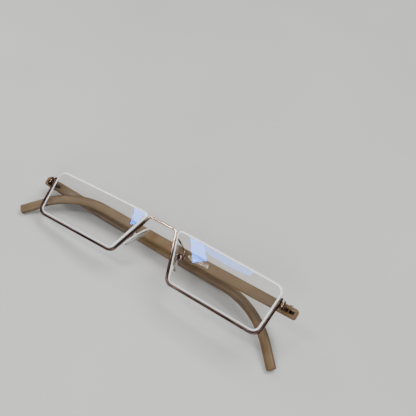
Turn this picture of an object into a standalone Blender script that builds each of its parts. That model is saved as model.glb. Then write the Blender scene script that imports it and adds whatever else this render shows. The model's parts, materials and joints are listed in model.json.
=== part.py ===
"""Folding reading glasses, folded and lying on the tips and one side arm.

Worn frame used for the drawing, in millimetres: X to the wearer's left, Y up, Z forward
out of the lenses.  REST turns that frame into the resting pose, in metres, +Z up.
"""
import math

import bmesh
import bpy
import numpy as np
from mathutils import Matrix, Vector

MM = 0.001

# ---- front: lens outline (one half, other half mirrored) --------------------------------
LENS_CORNERS = ((60.0, 7.4), (7.7, 8.4), (15.4, -13.2), (57.9, -13.8))
LENS_RADII = (3.6, 1.8, 2.7, 3.2)
LENS_MID_X, LENS_MID_Y = 34.0, -3.0
LENS_THICK = 1.9
GROOVE_DEEP, GROOVE_WIDE = 0.35, 1.1
FRONT_WRAP = 1.6          # the bridge stands this far in front of the outer ends
LENS_BULGE = 0.9          # extra curve of each lens
CORD_R = 0.25
CORD_OUT = 0.2            # cord centre outside the lens edge
CORD_START_Y = 4.0

# ---- wire of the bridge and the half rims ------------------------------------------------
RIM_HALF_W, RIM_HALF_D = 0.62, 0.9
RIM_OUT = 0.87            # wire centre outside the lens edge
RIM_TOP_Y = 3.5           # where the half rim ends on the outer side
BRIDGE_Y = 7.5
BRIDGE_BEND = 1.6

# ---- end pieces and hinge ---------------------------------------------------------------
PIN = (64.1, 0.4, -5.8)
FLANGE_X = (61.74, 62.5)
FLANGE_Y = (-1.5, 2.9)
FLANGE_Z = (-1.0, 0.9)
TONGUE_THICK = 0.9
TONGUE_WIDE = 1.1
EYE_R, EYE_HOLE_R = 0.95, 0.5
SCREW_R, SCREW_HEAD_R, SCREW_HEAD_T = 0.41, 0.85, 0.5

# ---- side arms ----------------------------------------------------------------------------
ARM_FRONT = 4.0           # from the pin to the closed front end
ARM_STRAIGHT = 101.2      # from the front end to the ear bend
ARM_BEND_R = 39.5
ARM_BEND_DEG = 46.6
ARM_TIP = 10.2
ARM_HALF_H, ARM_HALF_T = 2.35, 1.3
TIP_HALF_H, TIP_HALF_T = 2.2, 1.65
ARM_BOW = 0.0028          # curvature of the outward bow, 1/mm
ARM_BOW_SPAN = 110.0
ARM_OFFSET = 0.25         # pin is this far towards the inner face
SLOT_U = (-2.6, 4.8)
SLOT_HALF = 0.75
SLOT_FLOOR = 1.15
FOLD_DEG = {1: 0.1, -1: 5.4}      # folded angle from the front, wearer's left, right
SWAY_DEG = {1: -0.6, -1: 1.7}     # play of each folded arm in the plane of the front
HINGE_RAKE_DEG = 1.0

# ---- nose pads ----------------------------------------------------------------------------
PAD_MID = (10.75, -2.75, -4.5)
PAD_LONG = (6.1, -11.9, 2.0)
PAD_FACE = (-0.98, -0.30, -0.14)
PAD_HALF = (6.7, 2.75)
PAD_THICK = 1.7
BOX_SIZE = (2.2, 2.7, 2.0)
BOX_UP = 2.5              # box centre above the pad's middle
WIRE_R = 0.42

# ---- resting pose -------------------------------------------------------------------------
REST_NORMAL = (0.0987, 0.4191, 0.9026)
REST_SHIFT = (-0.001018, 0.004511, 0.017392)

REST = Matrix.Identity(4)


def rest_matrix():
    """Turn the worn frame so that the table's normal becomes +Z and +X stays lengthwise."""
    up = Vector(REST_NORMAL).normalized()
    along = (Vector((1, 0, 0)) - up * up.x).normalized()
    across = up.cross(along)
    turn = Matrix((along, across, up)).to_4x4()
    return Matrix.Translation(REST_SHIFT) @ turn


def material(name, colour, metallic=0.0, roughness=0.4, transmission=0.0, ior=1.5):
    mat = bpy.data.materials.new(name)
    mat.use_nodes = True
    bsdf = mat.node_tree.nodes["Principled BSDF"]
    bsdf.inputs["Base Color"].default_value = (*colour, 1.0)
    bsdf.inputs["Metallic"].default_value = metallic
    bsdf.inputs["Roughness"].default_value = roughness
    bsdf.inputs["Transmission Weight"].default_value = transmission
    bsdf.inputs["IOR"].default_value = ior
    mat.diffuse_color = (*colour, 1.0)
    return mat


def surface_z(x, y):
    """Height of the curved front: a gentle wrap plus the bulge of each lens."""
    x = np.abs(np.asarray(x, float))
    bulge = np.clip(1 - ((x - LENS_MID_X) / 26.5) ** 2, 0, None)
    return FRONT_WRAP * (1 - (x / 60) ** 2) + LENS_BULGE * bulge + 0 * np.asarray(y)


def fillet_path(points, radii, closed, step_deg=15, step_mm=6.0):
    """Polyline with rounded corners, as an (n, 2) array."""
    pts = [np.array(p, float) for p in points]
    n = len(pts)
    out = []
    for i, p in enumerate(pts):
        r = radii[i]
        if not r:
            out.append(p)
            continue
        a = pts[i - 1] - p
        b = pts[(i + 1) % n] - p
        a, b = a / np.linalg.norm(a), b / np.linalg.norm(b)
        half = math.acos(np.clip(a @ b, -1, 1)) / 2
        centre = p + (a + b) / np.linalg.norm(a + b) * r / math.sin(half)
        start, end = p + a * r / math.tan(half), p + b * r / math.tan(half)
        turn = math.pi - 2 * half
        steps = max(2, math.ceil(math.degrees(turn) / step_deg))
        va, vb = start - centre, end - centre
        t = np.linspace(0, 1, steps + 1)[:, None]
        arc = (np.sin((1 - t) * turn) * va + np.sin(t * turn) * vb) / math.sin(turn)
        out.extend(centre + arc)
    if closed:
        out.append(out[0])
    path = [out[0]]
    for a, b in zip(out[:-1], out[1:]):
        pieces = max(1, math.ceil(np.linalg.norm(b - a) / step_mm))
        path.extend(a + (b - a) * k / pieces for k in range(1, pieces + 1))
    return np.array(path[:-1] if closed else path)


def offset_corners(corners, distance):
    """Move every edge of a polygon outward by distance and meet the edges again."""
    pts = np.array(corners, float)
    area = np.sum(pts[:, 0] * np.roll(pts[:, 1], -1) - np.roll(pts[:, 0], -1) * pts[:, 1])
    edge = np.roll(pts, -1, axis=0) - pts
    normal = np.stack((edge[:, 1], -edge[:, 0]), 1) * np.sign(area)
    normal /= np.linalg.norm(normal, axis=1)[:, None]
    out = []
    for i in range(len(pts)):
        n0, n1 = normal[i - 1], normal[i]
        rhs = np.array((n0 @ pts[i], n1 @ pts[i])) + distance
        out.append(np.linalg.solve(np.array((n0, n1)), rhs))
    return np.array(out)


def make_object(name, verts, faces, mat, matrix, smooth=35):
    """One mesh object; verts are in millimetres in its own frame, matrix places it."""
    mesh = bpy.data.meshes.new(name)
    mesh.from_pydata([tuple(float(c) * MM for c in v) for v in verts], [], faces)
    bm = bmesh.new()
    bm.from_mesh(mesh)
    bmesh.ops.remove_doubles(bm, verts=bm.verts, dist=1e-7)
    bmesh.ops.recalc_face_normals(bm, faces=bm.faces)
    if bm.calc_volume(signed=True) < 0:
        bmesh.ops.reverse_faces(bm, faces=bm.faces)
    bm.to_mesh(mesh)
    bm.free()
    mesh.materials.append(mat)
    mesh.shade_smooth()
    mesh.set_sharp_from_angle(angle=math.radians(smooth))
    obj = bpy.data.objects.new(name, mesh)
    bpy.context.collection.objects.link(obj)
    obj.matrix_world = matrix
    return obj


def loft(rings, closed=False, cap=True):
    """Skin a list of equal rings; ends are closed by flat faces unless closed is set."""
    rings = np.asarray(rings, float)
    count, m = rings.shape[:2]
    verts = rings.reshape(-1, 3)
    faces = []
    for i in range(count if closed else count - 1):
        a, b = i * m, ((i + 1) % count) * m
        faces += [(a + j, a + (j + 1) % m, b + (j + 1) % m, b + j) for j in range(m)]
    if cap and not closed:
        faces.append(tuple(range(m)))
        faces.append(tuple(range((count - 1) * m, count * m)))
    return verts, faces


def box_mesh(lo, hi):
    (x0, y0, z0), (x1, y1, z1) = lo, hi
    ring = [(x0, y0), (x1, y0), (x1, y1), (x0, y1)]
    return loft([[(x, y, z) for x, y in ring] for z in (z0, z1)])


def rod_mesh(profile, axis=1, count=16):
    """Turned piece: profile is (radius, height) pairs along the chosen axis."""
    angle = np.arange(count) * 2 * math.pi / count
    rings = []
    for r, h in profile:
        p = np.zeros((count, 3))
        p[:, (axis + 1) % 3] = r * np.cos(angle)
        p[:, (axis + 2) % 3] = r * np.sin(angle)
        p[:, axis] = h
        rings.append(p)
    return loft(rings)


def sweep(path, half_a, half_b, count, up=(0, 0, 1), power=2.0):
    """Sweep an oval of half_a across and half_b along up, following a 3-D path."""
    path = np.asarray(path, float)
    tangent = np.gradient(path, axis=0)
    tangent /= np.linalg.norm(tangent, axis=1)[:, None]
    up = np.broadcast_to(np.asarray(up, float), path.shape)
    side = np.cross(tangent, up)
    side /= np.linalg.norm(side, axis=1)[:, None]
    rise = np.cross(side, tangent)
    angle = (np.arange(count) + 0.5) * 2 * math.pi / count
    c, s = np.cos(angle), np.sin(angle)
    ca = np.sign(c) * np.abs(c) ** (2 / power)
    sa = np.sign(s) * np.abs(s) ** (2 / power)
    return (path[:, None] + side[:, None] * (half_a * ca)[None, :, None]
            + rise[:, None] * (half_b * sa)[None, :, None])


def subtract(target, cutters):
    """Cut the cutters out of the target with exact Booleans and clean up."""
    for cutter in cutters:
        cutter.hide_render = True
        cutter.display_type = "WIRE"
        mod = target.modifiers.new("cut", "BOOLEAN")
        mod.operation, mod.solver, mod.object = "DIFFERENCE", "EXACT", cutter
    apply_modifiers(target, cutters)


def join(target, others):
    """Fuse solids into the target with an exact union."""
    for other in others:
        mod = target.modifiers.new("join", "BOOLEAN")
        mod.operation, mod.solver, mod.object = "UNION", "EXACT", other
    apply_modifiers(target, others)


def apply_modifiers(target, spent):
    bpy.context.view_layer.update()
    graph = bpy.context.evaluated_depsgraph_get()
    mesh = bpy.data.meshes.new_from_object(target.evaluated_get(graph))
    target.modifiers.clear()
    target.data = mesh
    bm = bmesh.new()
    bm.from_mesh(mesh)
    bmesh.ops.remove_doubles(bm, verts=bm.verts, dist=2e-6)
    bmesh.ops.dissolve_degenerate(bm, edges=bm.edges, dist=1e-6)
    bm.to_mesh(mesh)
    bm.free()
    mesh.shade_smooth()
    mesh.set_sharp_from_angle(angle=math.radians(35))
    for obj in spent:
        bpy.data.objects.remove(obj)


# ---- pieces -------------------------------------------------------------------------------
def front_wire(mat):
    """One bent wire: outer end, bottom, nose side and bridge, mirrored to the other side."""
    corners = offset_corners(LENS_CORNERS, RIM_OUT)
    top_out, top_in, low_in, low_out = corners
    slope = (top_in[0] - low_in[0]) / (top_in[1] - low_in[1])
    turn_in = (low_in[0] + slope * (BRIDGE_Y - low_in[1]), BRIDGE_Y)
    lean = (top_out[0] - low_out[0]) / (top_out[1] - low_out[1])
    end = (low_out[0] + lean * (RIM_TOP_Y - low_out[1]), RIM_TOP_Y)
    half = [end, tuple(low_out), tuple(low_in), turn_in]
    radii = [0, LENS_RADII[3] + RIM_OUT, LENS_RADII[2] + RIM_OUT, BRIDGE_BEND]
    other = [(-x, y) for x, y in reversed(half)]
    path = fillet_path(half + other, radii + radii[::-1], False, 11)
    path = np.column_stack((path, surface_z(path[:, 0], path[:, 1])))
    rings = sweep(path, RIM_HALF_W, RIM_HALF_D, 12, power=2.6)
    return make_object("front_wire", *loft(rings), mat, REST, 50)


def lens(side, name, mat):
    """Grooved lens slab: rings of one outline, inset and raised, closed over both faces."""
    def outline(inset):
        radii = [max(r - inset, 0.4) for r in LENS_RADII]
        return fillet_path(offset_corners(LENS_CORNERS, -inset), radii, True, 15, 8.0)

    half = LENS_THICK / 2
    lip = GROOVE_WIDE / 2
    edge = [(0.12, half), (0.0, half - 0.12), (0.0, lip), (GROOVE_DEEP, lip - 0.12),
            (GROOVE_DEEP, 0.12 - lip), (0.0, -lip), (0.0, 0.12 - half), (0.12, -half)]
    rings = []
    for inset, rise in edge:
        p = outline(inset)
        rings.append(np.column_stack((p, surface_z(p[:, 0], p[:, 1]) + rise)))
    mid = np.array((LENS_MID_X, LENS_MID_Y))
    faces_front, faces_back = [], []
    for t in (0.8, 0.55, 0.3):
        p = mid + (outline(0.12) - mid) * t
        crown = 0.35 * (1 - t * t)
        z = surface_z(p[:, 0], p[:, 1])
        faces_front.insert(0, np.column_stack((p, z + half + crown)))
        faces_back.append(np.column_stack((p, z - half + 0.6 * crown)))
    rings = np.array(faces_front + rings + faces_back)
    rings[:, :, 0] *= side
    verts, faces = loft(rings)
    return make_object(name, verts, faces, mat, REST, 30)


def cord(side, name, mat):
    """Nylon thread in the groove over the open top of the lens."""
    corners = offset_corners(LENS_CORNERS, CORD_OUT)
    top_out, top_in, low_in, low_out = corners
    lean = (top_out - low_out) / (top_out[1] - low_out[1])
    start = low_out + lean * (CORD_START_Y - low_out[1])
    points = [start, top_out, top_in + (top_out - top_in) * 0.045]
    path = fillet_path(points, [0, LENS_RADII[0] + CORD_OUT, 0], False, 15, 6.0)
    path = np.column_stack((path, surface_z(path[:, 0], path[:, 1])))
    path[:, 0] *= side
    rings = sweep(path, CORD_R, CORD_R, 8)
    return make_object(name, *loft(rings), mat, REST, 50)


def end_piece(side, name, mat):
    """Flange on the rim with a tongue that reaches back to the eye on the hinge pin."""
    px, py, pz = PIN
    lo = (FLANGE_X[0], FLANGE_Y[0], FLANGE_Z[0])
    hi = (FLANGE_X[1], FLANGE_Y[1], FLANGE_Z[1])
    verts, faces = box_mesh(lo, hi)
    plate = make_object(name, verts * (side, 1, 1), faces, mat, REST)
    path = fillet_path([(62.15, 0.5), (62.15, -2.2), (px, pz)], [0, 1.6, 0], False, 12, 9.0)
    path = np.column_stack((path[:, 0], np.full(len(path), py), path[:, 1]))
    path[0] = (62.15, py, 0.5)
    tangent = np.gradient(path, axis=0)
    tangent /= np.linalg.norm(tangent, axis=1)[:, None]
    side_way = np.cross(tangent, (0, 1, 0))
    hw, ht = TONGUE_WIDE / 2, TONGUE_THICK / 2
    rings = [[p + n * a + np.array((0, b, 0)) for a, b in
              ((hw, ht), (-hw, ht), (-hw, -ht), (hw, -ht))] for p, n in zip(path, side_way)]
    verts, faces = loft(rings)
    tongue = make_object("tongue", verts * (side, 1, 1), faces, mat, REST)
    eye_v, eye_f = rod_mesh([(EYE_R, -ht), (EYE_R, ht)], 1, 24)
    hole_v, hole_f = rod_mesh([(EYE_HOLE_R, -3), (EYE_HOLE_R, 3)], 1, 16)
    centre = np.array((side * px, py, pz))
    eye = make_object("eye", eye_v + centre, eye_f, mat, REST)
    hole = make_object("hole", hole_v + centre, hole_f, mat, REST)
    join(plate, [tongue, eye])
    subtract(plate, [hole])
    return plate


def arm_matrix(side):
    """Frame of a folded arm: x along it from the pin, y along the pin, z = side * outward."""
    fold = math.radians(FOLD_DEG[side])
    u = Vector((-side * math.cos(fold), 0, -math.sin(fold)))
    a = Vector((0, 1, 0))
    w = u.cross(a)
    basis = Matrix((u, a, w)).transposed().to_4x4()
    rake = Matrix.Rotation(-math.radians(HINGE_RAKE_DEG), 4, "X")
    sway = Matrix.Rotation(side * math.radians(SWAY_DEG[side]), 4, "Z")
    pin = Vector((side * PIN[0], PIN[1], PIN[2])) * MM
    return REST @ Matrix.Translation(pin) @ sway @ rake @ basis


def arm_bow(u):
    return ARM_BOW / 2 * u * (ARM_BOW_SPAN - u) + ARM_OFFSET


def side_arm(side, name, mat):
    """Bowed arm, flat at the hinge and rounder at the tip, with the tongue's slot."""
    bend = math.radians(ARM_BEND_DEG)
    total = ARM_STRAIGHT + ARM_BEND_R * bend + ARM_TIP
    s = np.concatenate(((0, 0.12, 0.4, 0.8, 1.3, 2.2, 5, 9), np.linspace(16, ARM_STRAIGHT - 5, 12),
                        np.linspace(ARM_STRAIGHT, ARM_STRAIGHT + ARM_BEND_R * bend, 12),
                        (total - 6, total - 0.4, total)))
    turn = np.clip((s - ARM_STRAIGHT) / ARM_BEND_R, 0, bend)
    rest = np.clip(s - ARM_STRAIGHT - ARM_BEND_R * bend, 0, None)
    u = np.minimum(s, ARM_STRAIGHT) + ARM_BEND_R * np.sin(turn) + rest * math.cos(bend)
    v = -ARM_BEND_R * (1 - np.cos(turn)) - rest * math.sin(bend)
    u = u - ARM_FRONT
    path = np.column_stack((u, v, arm_bow(u)))
    tangent = np.gradient(path, s, axis=0)
    tangent /= np.linalg.norm(tangent, axis=1)[:, None]
    height = np.column_stack((np.sin(turn), np.cos(turn), np.zeros(len(s))))
    height -= tangent * np.sum(tangent * height, axis=1)[:, None]
    height /= np.linalg.norm(height, axis=1)[:, None]
    thick = np.cross(tangent, height)
    blend = np.clip((s / total - 0.48) / 0.36, 0, 1)
    blend = blend * blend * (3 - 2 * blend)
    hh = ARM_HALF_H + (TIP_HALF_H - ARM_HALF_H) * blend
    ht = ARM_HALF_T + (TIP_HALF_T - ARM_HALF_T) * blend
    front = np.clip(s / 1.3, 0, 1)
    hh -= 1.3 * (1 - np.sqrt(1 - (1 - front) ** 2))
    ht -= 0.35 * (1 - np.sqrt(1 - (1 - front) ** 2))
    cut = np.clip((s - (total - 0.4)) / 0.4, 0, 1) * 0.35
    hh, ht = hh - cut, ht - cut
    power = 6.0 + (2.3 - 6.0) * blend
    angle = (np.arange(20) + 0.5) * 2 * math.pi / 20
    c, sn = np.cos(angle)[None, :], np.sin(angle)[None, :]
    ca = np.sign(c) * np.abs(c) ** (2 / power[:, None]) * ht[:, None]
    sa = np.sign(sn) * np.abs(sn) ** (2 / power[:, None]) * hh[:, None]
    rings = path[:, None] + thick[:, None] * ca[:, :, None] + height[:, None] * sa[:, :, None]
    rings[:, :, 2] *= side
    arm = make_object(name, *loft(rings), mat, arm_matrix(side), 30)
    inner, floor = -6.0, SLOT_FLOOR
    zs = sorted((side * inner, side * floor))
    slot = make_object("slot", *box_mesh((SLOT_U[0], -SLOT_HALF, zs[0]),
                                         (SLOT_U[1], SLOT_HALF, zs[1])), mat, arm_matrix(side))
    hole = make_object("hole", *rod_mesh([(EYE_HOLE_R, -4), (EYE_HOLE_R, 4)], 1, 16), mat,
                       arm_matrix(side))
    subtract(arm, [slot, hole])
    return arm


def hinge_screw(side, name, mat):
    """Screw that is the hinge pin, its slotted head on the arm's top edge."""
    top = ARM_HALF_H + 0.2
    low = -ARM_HALF_H + 0.1
    profile = [(SCREW_R - 0.08, low), (SCREW_R, low + 0.1), (SCREW_R, top),
               (SCREW_HEAD_R, top), (SCREW_HEAD_R, top + SCREW_HEAD_T - 0.2),
               (SCREW_HEAD_R - 0.25, top + SCREW_HEAD_T)]
    screw = make_object(name, *rod_mesh(profile, 1, 16), mat, arm_matrix(side))
    cut = make_object("cut", *box_mesh((-2, top + SCREW_HEAD_T - 0.22, -0.14),
                                       (2, top + 2, 0.14)), mat, arm_matrix(side))
    subtract(screw, [cut])
    return screw


def pad_matrix(side):
    """Frame of a nose pad: x along it downwards, y across it, z away from the nose."""
    long = Vector(PAD_LONG).normalized()
    away = -Vector(PAD_FACE)
    away = (away - long * away.dot(long)).normalized()
    long.x *= side
    away.x *= side
    across = away.cross(long)
    basis = Matrix((long, across, away)).transposed().to_4x4()
    mid = Vector((side * PAD_MID[0], PAD_MID[1], PAD_MID[2])) * MM
    return REST @ Matrix.Translation(mid) @ basis


def nose_pad(side, name, mat):
    """Clear oval cushion, domed on the nose side."""
    count = 28
    angle = np.arange(count) * 2 * math.pi / count
    a, b = PAD_HALF
    levels = [(0.35, -PAD_THICK * 0.5), (0.72, -PAD_THICK * 0.42), (0.92, -PAD_THICK * 0.25),
              (1.0, 0.0), (0.97, PAD_THICK * 0.25), (0.86, PAD_THICK * 0.42),
              (0.45, PAD_THICK * 0.5)]
    rings = []
    for k, z in levels:
        inset = (1 - k) * b
        rings.append(np.column_stack(((a - inset) * np.cos(angle), (b - inset) * np.sin(angle),
                                      np.full(count, z))))
    return make_object(name, *loft(rings), mat, pad_matrix(side), 50)


def pad_insert(side, name, mat):
    """Metal insert of the pad: a foot on the cushion and a lug up into the box."""
    base = PAD_THICK / 2 + 0.12
    foot = make_object(name, *box_mesh((-1.5, -0.8, base), (1.5, 0.8, base + 0.35)), mat,
                       pad_matrix(side))
    lug = make_object("lug", *box_mesh((-0.7, -0.4, base + 0.1), (0.7, 0.4, BOX_UP + 0.5)), mat,
                      pad_matrix(side))
    hole = make_object("hole", *rod_mesh([(0.36, -4), (0.36, 4)], 1, 12), mat,
                       pad_matrix(side) @ Matrix.Translation((0, 0, BOX_UP * MM)))
    join(foot, [lug])
    subtract(foot, [hole])
    return foot


def pad_box(side, name, mat):
    """Box at the end of the pad's wire; the pad's lug rocks between its two cheeks."""
    lx, ly, lz = BOX_SIZE
    low = BOX_UP - lz / 2
    box = make_object(name, *box_mesh((-lx / 2, -ly / 2, low), (lx / 2, ly / 2, low + lz)), mat,
                      pad_matrix(side))
    gap = make_object("gap", *box_mesh((-3, -0.6, low - 1), (3, 0.6, low + lz - 0.35)), mat,
                      pad_matrix(side))
    hole = make_object("hole", *rod_mesh([(0.4, -4), (0.4, 4)], 1, 12), mat,
                       pad_matrix(side) @ Matrix.Translation((0, 0, BOX_UP * MM)))
    subtract(box, [gap, hole])
    return box


def pad_screw(side, name, mat):
    """Tiny screw through the box and the lug."""
    ly = BOX_SIZE[1] / 2
    profile = [(0.2, -ly), (0.25, 0.1 - ly), (0.25, ly + 0.12), (0.55, ly + 0.12),
               (0.55, ly + 0.4), (0.4, ly + 0.5)]
    turn = pad_matrix(side) @ Matrix.Translation((0, 0, BOX_UP * MM))
    return make_object(name, *rod_mesh(profile, 1, 12), mat, turn)


def pad_wire(side, name, mat):
    """Bent wire from the back of the rim to the top of the pad's box."""
    frame = REST.inverted() @ pad_matrix(side)
    top = np.array(frame @ (Vector((-0.2, 0, BOX_UP + BOX_SIZE[2] / 2 + WIRE_R + 0.15)) * MM)) / MM
    toward = np.array(frame.to_3x3() @ Vector((1, 0, 0)))
    knots = np.array([(side * 9.15, 4.6, -0.1), (side * 9.7, 4.3, -2.0), (side * 11.0, 3.2, -3.5),
                      top - toward * 2.4 + (side * 0.1, 0, 0.1), top, top + toward * 0.9])
    path = spline(knots, 5)
    rings = sweep(path, WIRE_R, WIRE_R, 8, up=(0.3, 0.2, 1))
    return make_object(name, *loft(rings), mat, REST, 50)


def spline(knots, steps):
    """Catmull-Rom curve through the knots."""
    k = np.vstack((2 * knots[0] - knots[1], knots, 2 * knots[-1] - knots[-2]))
    t = np.linspace(0, 1, steps, endpoint=False)[:, None]
    out = []
    for i in range(1, len(k) - 2):
        p0, p1, p2, p3 = k[i - 1], k[i], k[i + 1], k[i + 2]
        out.append(0.5 * (2 * p1 + (p2 - p0) * t + (2 * p0 - 5 * p1 + 4 * p2 - p3) * t ** 2
                          + (3 * p1 - p0 - 3 * p2 + p3) * t ** 3))
    out.append(knots[-1:])
    return np.vstack(out)


def main():
    global REST
    for obj in list(bpy.data.objects):
        bpy.data.objects.remove(obj)
    REST = rest_matrix()
    bronze = material("bronze_wire", (0.20, 0.11, 0.07), 1.0, 0.25)
    resin = material("lens_resin", (0.95, 0.97, 1.0), 0.0, 0.03, 1.0, 1.56)
    nylon = material("clear_nylon", (0.85, 0.87, 0.9), 0.0, 0.25, 0.6, 1.5)
    plastic = material("tan_plastic", (0.22, 0.13, 0.07), 0.0, 0.5)
    steel = material("screw_steel", (0.5, 0.42, 0.36), 1.0, 0.3)
    silicone = material("clear_silicone", (0.9, 0.92, 0.92), 0.0, 0.15, 0.9, 1.42)
    front_wire(bronze)
    for side, word in ((1, "left"), (-1, "right")):
        lens(side, f"{word}_lens", resin)
        cord(side, f"{word}_lens_cord", nylon)
        end_piece(side, f"{word}_end_piece", bronze)
        side_arm(side, f"{word}_side_arm", plastic)
        hinge_screw(side, f"{word}_hinge_screw", steel)
        pad_wire(side, f"{word}_pad_wire", bronze)
        pad_box(side, f"{word}_pad_box", bronze)
        nose_pad(side, f"{word}_nose_pad", silicone)
        pad_insert(side, f"{word}_pad_insert", steel)
        pad_screw(side, f"{word}_pad_screw", steel)


main()
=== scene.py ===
# %% [markdown]
# # Folding reading glasses, folded on a pale table
#
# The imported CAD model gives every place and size.  Around it this lesson rebuilds each
# piece as a finer surface: the bent wire front, the coated lenses, the thread that holds
# them, the hinges, the nose pads and the two bowed side arms.  Sizes are drawn in
# millimetres in the frame of someone wearing the glasses (X to their left, Y up, Z out
# of the lenses) and then turned into the resting pose.

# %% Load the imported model
import json
import math

import bmesh
import bpy
import numpy as np
from mathutils import Matrix


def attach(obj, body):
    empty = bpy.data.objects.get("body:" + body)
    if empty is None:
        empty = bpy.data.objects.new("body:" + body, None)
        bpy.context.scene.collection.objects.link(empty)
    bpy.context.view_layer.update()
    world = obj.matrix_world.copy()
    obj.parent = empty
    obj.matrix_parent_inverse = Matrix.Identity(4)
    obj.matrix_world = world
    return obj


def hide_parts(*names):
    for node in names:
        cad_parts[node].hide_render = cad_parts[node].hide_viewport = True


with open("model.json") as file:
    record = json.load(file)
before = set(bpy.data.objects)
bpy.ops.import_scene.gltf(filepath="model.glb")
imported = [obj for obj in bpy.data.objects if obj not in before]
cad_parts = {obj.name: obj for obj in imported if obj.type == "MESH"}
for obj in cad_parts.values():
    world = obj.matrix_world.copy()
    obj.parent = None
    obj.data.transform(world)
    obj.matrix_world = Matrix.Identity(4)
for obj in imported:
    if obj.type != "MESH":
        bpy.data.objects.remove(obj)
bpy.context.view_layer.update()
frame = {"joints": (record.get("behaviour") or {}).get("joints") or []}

# %% [markdown]
# ## Camera
# The glasses are seen from above and from the wearer's lower left, held slightly askew.
# A camera is a place, a line of sight and an up direction; the three unit vectors become
# the columns of its matrix.  A long lens keeps the slim front from looking bent.

# %% Camera
EYE = np.array((0.07489, -0.10099, 0.21571))
SIGHT = np.array((-0.2691, 0.5377, -0.7991))
HEAD_UP = np.array((-0.4783, 0.6455, 0.5954))


def unit(vectors):
    """A vector, or each row of an array, divided by its length."""
    vectors = np.asarray(vectors, float)
    return vectors / np.linalg.norm(vectors, axis=-1, keepdims=True)


def turned(place, right, up, back):
    """Object matrix whose columns are the three directions and the place."""
    matrix = np.eye(4)
    matrix[:3] = np.column_stack((right, up, back, place))
    return Matrix(matrix.tolist())


lens_data = bpy.data.cameras.new("studio_camera")
lens_data.sensor_width, lens_data.lens = 36.0, 46.73
lens_data.clip_start, lens_data.clip_end = 0.01, 20.0
camera = bpy.data.objects.new("studio_camera", lens_data)
bpy.context.scene.collection.objects.link(camera)
camera.matrix_world = turned(EYE, unit(np.cross(SIGHT, HEAD_UP)), unit(HEAD_UP), -unit(SIGHT))
bpy.context.scene.camera = camera
print("camera height, mm:", round(1000 * EYE[2]))

# %% [markdown]
# ## Helpers for materials
# Every finish is a Principled shader with some noise behind its colour, roughness and
# bump.  Patterns read Object coordinates, in metres, so a noise scale of 1000 repeats
# about once a millimetre on every piece alike.

# %% Material helpers
def add_node(tree, kind, inputs=None, **settings):
    """One node, with its settings and the plain values of its inputs."""
    made = tree.nodes.new(kind)
    for name, value in settings.items():
        setattr(made, name, value)
    for name, value in (inputs or {}).items():
        made.inputs[name].default_value = value
    return made


def finish(name, colour, **sockets):
    """A material with a Principled shader; sockets are given with _ for blanks."""
    mat = bpy.data.materials.new(name)
    mat.use_nodes = True
    shader = mat.node_tree.nodes["Principled BSDF"]
    shader.inputs["Base Color"].default_value = (*colour, 1)
    for socket, value in sockets.items():
        shader.inputs[socket.replace("_", " ")].default_value = value
    return mat, mat.node_tree, shader


print("finish helpers:", add_node.__name__, finish.__name__)

# %% [markdown]
# ## Patterns for a finish
# A real surface is never one flat colour.  Three helpers give it its unevenness: a noise in
# a chosen size, a ramp that turns the noise into colours or greys, and a bump that turns it
# into height.  The ramp's stops are where a finish gets its character.

# %% Pattern helpers
def noise(tree, scale, detail=3, stretch=(1, 1, 1), coords="Object"):
    """Noise on the chosen coordinates, stretched along an axis by a small scale."""
    where = add_node(tree, "ShaderNodeTexCoord")
    sized = add_node(tree, "ShaderNodeMapping", {"Scale": stretch})
    made = add_node(tree, "ShaderNodeTexNoise", {"Scale": scale, "Detail": detail})
    tree.links.new(where.outputs[coords], sized.inputs["Vector"])
    tree.links.new(sized.outputs["Vector"], made.inputs["Vector"])
    return made.outputs["Fac"]


def ramp(tree, factor, stops):
    """Colours or greys along a factor; stops are (position, value) pairs."""
    made = add_node(tree, "ShaderNodeValToRGB")
    points = made.color_ramp.elements
    while len(points) < len(stops):
        points.new(0.5)
    for point, (position, value) in zip(points, stops):
        point.position = position
        point.color = (*(value if np.ndim(value) else (value,) * 3), 1)
    tree.links.new(factor, made.inputs["Fac"])
    return made.outputs["Color"]


def bump(tree, shader, height, depth, strength=1.0):
    """Height in metres, from a factor, added to the surface's normal."""
    made = add_node(tree, "ShaderNodeBump", {"Strength": strength, "Distance": depth})
    tree.links.new(height, made.inputs["Height"])
    tree.links.new(made.outputs["Normal"], shader.inputs["Normal"])


print("pattern helpers:", noise.__name__, ramp.__name__, bump.__name__)

# %% [markdown]
# ## Polished bronze wire
# The front is bent from drawn copper-nickel wire, coated dark bronze and buffed.  Drawing
# leaves hair-fine lines along the wire, so one noise is stretched along the piece's own
# UV map, for the roughness and the bump; a second, slow noise mottles the coating.  The
# bridge gets a painted highlight: its colour turns to bright copper near the middle of the
# front, and back to the dark coating further from it.

# %% Bronze
bronze, tree, shader = finish("polished_bronze", (0.12, 0.07, 0.05), Metallic=1.0,
                              Coat_Weight=0.25, Coat_Roughness=0.05)
mottle = noise(tree, 260, 4)
dark = ramp(tree, mottle, [(0.3, (0.030, 0.016, 0.012)), (0.55, (0.055, 0.029, 0.021)),
                           (0.8, (0.100, 0.054, 0.038))])
# painted highlight: the bright copper colour laid on the bridge
copper = ramp(tree, mottle, [(0.3, (0.78, 0.54, 0.41)), (0.8, (0.90, 0.68, 0.55))])
where = add_node(tree, "ShaderNodeTexCoord")
parts = add_node(tree, "ShaderNodeSeparateXYZ")
from_middle = add_node(tree, "ShaderNodeMath", operation="ABSOLUTE")
tree.links.new(where.outputs["Object"], parts.inputs[0])
tree.links.new(parts.outputs["X"], from_middle.inputs[0])
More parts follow.
